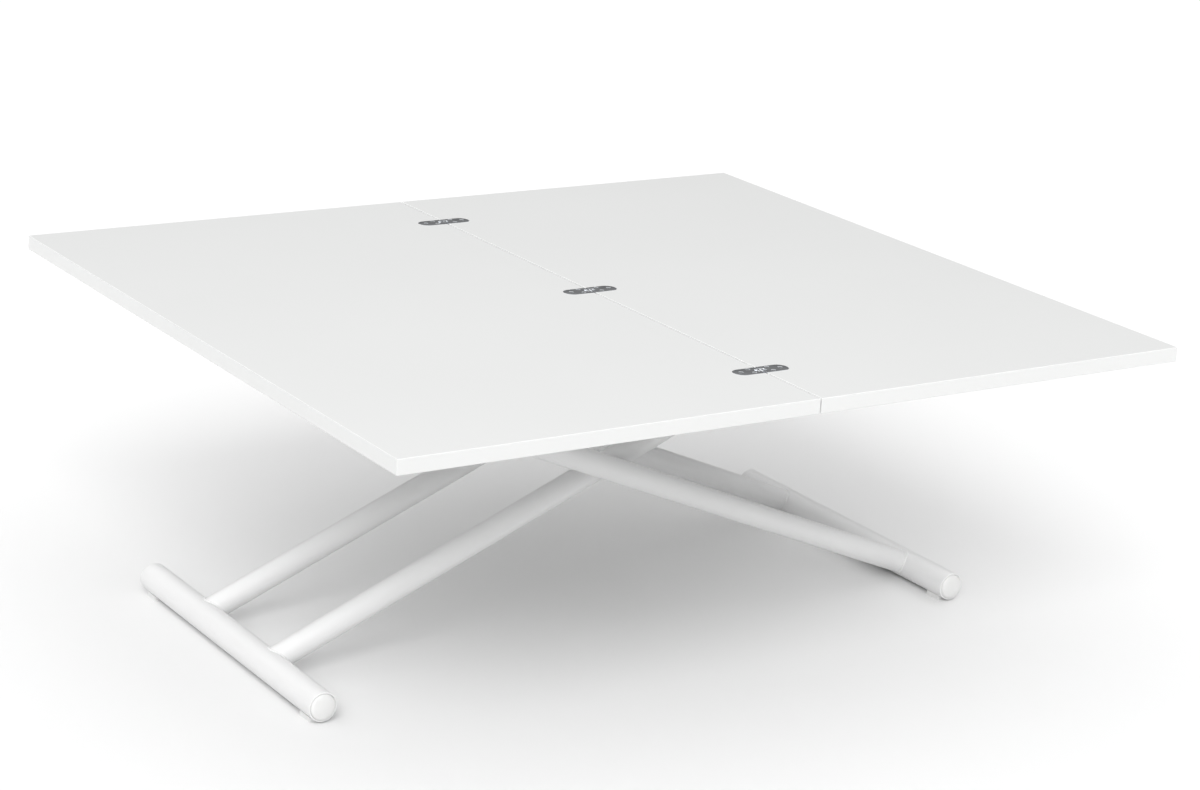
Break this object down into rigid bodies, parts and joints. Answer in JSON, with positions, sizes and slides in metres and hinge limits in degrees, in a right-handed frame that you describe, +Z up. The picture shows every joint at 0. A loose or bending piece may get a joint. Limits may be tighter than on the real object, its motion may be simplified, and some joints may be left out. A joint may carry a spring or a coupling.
{
  "type": "lift top coffee table",
  "caption": "White coffee table on a scissor base that lifts to dining height, with a hinged top that folds in half and swivels.",
  "frame": {"origin": "on the floor under the middle of the opened top, table lowered", "axes": "+X across the seam from the fixed leaf to the folding leaf, +Y along the seam, +Z up"},
  "size_m": [1.14, 1, 0.425],
  "materials": {
    "white_lacquer": "high gloss white lacquer on fibreboard",
    "white_powder": "satin white powder coat",
    "white_plastic": "moulded white plastic",
    "bright_chrome": "mirror chrome plate",
    "zinc_steel": "bright zinc plate",
    "black_nylon": "moulded black nylon",
    "spring_black": "black enamel",
    "grip_plastic": "fine grained dark plastic"
  },
  "bodies": {
    "left_glides": {"left_foot_glides": "white_plastic"},
    "inner_frame": {"left_foot_bar": "white_powder", "left_foot_caps": "white_plastic", "inner_leg_near": "white_powder", "inner_leg_far": "white_powder", "inner_pivot_sleeves": "zinc_steel", "inner_pivot_bushes": "black_nylon", "pivot_spacers": "black_nylon", "hinge_tube": "white_powder", "hinge_bushes": "black_nylon", "spring_lever_plates": "white_powder", "spring_lower_pin": "zinc_steel"},
    "outer_frame": {"right_foot_bar": "white_powder", "right_foot_caps": "white_plastic", "outer_leg_near": "white_powder", "outer_leg_far": "white_powder", "outer_pivot_bosses": "zinc_steel", "pivot_bolts": "zinc_steel", "slider_tube": "white_powder", "slider_studs": "zinc_steel"},
    "right_glides": {"right_foot_glides": "white_plastic"},
    "slide_blocks": {"slide_blocks": "black_nylon"},
    "sub_frame": {"rail_near": "white_powder", "rail_far": "white_powder", "left_cross_member": "white_powder", "right_cross_member": "white_powder", "hinge_brackets": "white_powder", "hinge_shaft": "zinc_steel", "hinge_shaft_nuts": "zinc_steel", "swivel_cross_plate": "white_powder", "swivel_bush": "black_nylon", "leaf_support_pads": "black_nylon", "spring_bracket": "white_powder", "spring_trunnion_screws": "zinc_steel", "lever_brackets": "white_powder"},
    "spring_rod": {"spring_rod": "bright_chrome", "spring_piston": "zinc_steel", "spring_head": "zinc_steel"},
    "release_pin": {"release_pin": "bright_chrome"},
    "spring_cylinder": {"spring_cylinder": "spring_black", "spring_gland": "zinc_steel", "spring_eye": "zinc_steel"},
    "release_lever": {"lever_shaft": "zinc_steel", "lever_arm": "zinc_steel", "lever_grip": "grip_plastic"},
    "fixed_leaf": {"fixed_leaf": "white_lacquer", "leaf_swivel_plate": "white_powder", "leaf_plate_screws": "zinc_steel", "swivel_stud": "zinc_steel", "swivel_washer": "zinc_steel", "swivel_nut": "zinc_steel", "swivel_stop_pin": "zinc_steel", "fixed_hinge_plates": "bright_chrome", "fixed_hinge_screws": "bright_chrome", "fixed_hinge_pins": "bright_chrome"},
    "hinge_links": {"hinge_links": "bright_chrome"},
    "folding_leaf": {"folding_leaf": "white_lacquer", "folding_hinge_plates": "bright_chrome", "folding_hinge_screws": "bright_chrome", "folding_hinge_pins": "bright_chrome"}
  },
  "joints": [
    {"name": "lift", "type": "hinge", "parent": "left_glides", "child": "inner_frame", "pos_m": [-0.503, 0, 0.021], "axis": [0, -1, 0], "range_deg": [0, 23.3]},
    {"name": "scissor_pivot", "type": "hinge", "parent": "inner_frame", "child": "outer_frame", "pos_m": [-0.019, 0, 0.21852], "axis": [0, 1, 0], "range_deg": [0, 46.6]},
    {"name": "right_foot_turn", "type": "hinge", "parent": "outer_frame", "child": "right_glides", "pos_m": [0.465, 0, 0.021], "axis": [0, -1, 0], "range_deg": [0, 23.3]},
    {"name": "slide_block_turn", "type": "hinge", "parent": "outer_frame", "child": "slide_blocks", "pos_m": [-0.42695, 0, 0.385], "axis": [0, -1, 0], "range_deg": [0, 23.3]},
    {"name": "upper_hinge", "type": "hinge", "parent": "inner_frame", "child": "sub_frame", "pos_m": [0.38895, 0, 0.385], "axis": [0, 1, 0], "range_deg": [0, 23.3]},
    {"name": "spring_upper_pivot", "type": "hinge", "parent": "sub_frame", "child": "spring_rod", "pos_m": [0.22053, 0, 0.36193], "axis": [0, -1, 0], "range_deg": [0, 11.65]},
    {"name": "spring_lower_pivot", "type": "hinge", "parent": "inner_frame", "child": "spring_cylinder", "pos_m": [0.3139, 0, 0.23247], "axis": [0, 1, 0], "range_deg": [0, 11.65]},
    {"name": "release_lever", "type": "hinge", "parent": "sub_frame", "child": "release_lever", "pos_m": [0.18797, 0, 0.36243], "axis": [0, 1, 0], "range_deg": [0, 8], "stiffness_Nm_per_rad": 3},
    {"name": "release_pin_travel", "type": "slide", "parent": "spring_rod", "child": "release_pin", "axis": [0.585, 0, -0.8111], "range_m": [0, 0.0034]},
    {"name": "swivel", "type": "hinge", "parent": "sub_frame", "child": "fixed_leaf", "pos_m": [-0.152, 0.133, 0.406], "axis": [0, 0, 1], "range_deg": [0, 90]},
    {"name": "leaf_fold", "type": "hinge", "parent": "fixed_leaf", "child": "folding_leaf", "pos_m": [0, 0, 0.4253], "axis": [0, -1, 0], "range_deg": [0, 180]},
    {"name": "hinge_link_swing", "type": "hinge", "parent": "fixed_leaf", "child": "hinge_links", "pos_m": [-0.0025, 0, 0.4228], "axis": [0, -1, 0], "range_deg": [0, 90]}
  ],
  "couplings": [
    {"joint": "scissor_pivot", "follows": "lift", "ratio": 2},
    {"joint": "right_foot_turn", "follows": "lift", "ratio": 1},
    {"joint": "slide_block_turn", "follows": "lift", "ratio": 1},
    {"joint": "upper_hinge", "follows": "lift", "ratio": 1},
    {"joint": "spring_upper_pivot", "follows": "lift", "ratio": 0.5},
    {"joint": "spring_lower_pivot", "follows": "lift", "ratio": 0.5},
    {"joint": "release_pin_travel", "follows": "release_lever", "m_per_rad": 0.024},
    {"joint": "hinge_link_swing", "follows": "leaf_fold", "ratio": 0.5}
  ]
}
